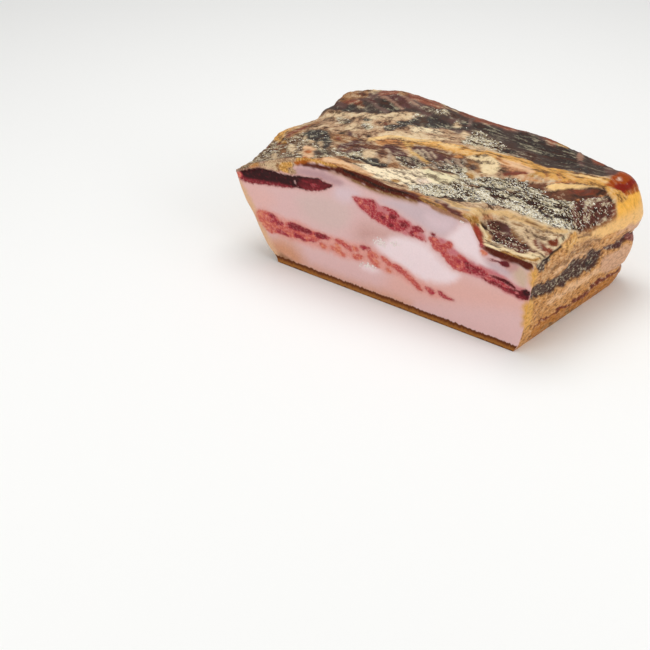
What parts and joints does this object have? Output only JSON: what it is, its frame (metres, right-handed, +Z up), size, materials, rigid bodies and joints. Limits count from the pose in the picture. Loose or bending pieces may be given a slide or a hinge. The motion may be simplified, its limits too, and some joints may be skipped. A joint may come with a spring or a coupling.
{
  "type": "pancetta",
  "caption": "Cut block of flat, dry-cured pork belly with bands of lean through pale fat, a dried crust on top and rind below.",
  "frame": {"origin": "bottom centre of the block, on the surface that the rind lies on", "axes": "+X along the fresh cut face to the right, +Y from the cut face to the back, +Z up from rind to crust"},
  "size_m": [0.1594, 0.0892, 0.0605],
  "materials": {
    "cured_pork_belly": "moist satin fat and lean on the cut face, dry and matt on the cured crust and sides"
  },
  "bodies": {
    "root": {"slab": "cured_pork_belly"}
  },
  "joints": []
}
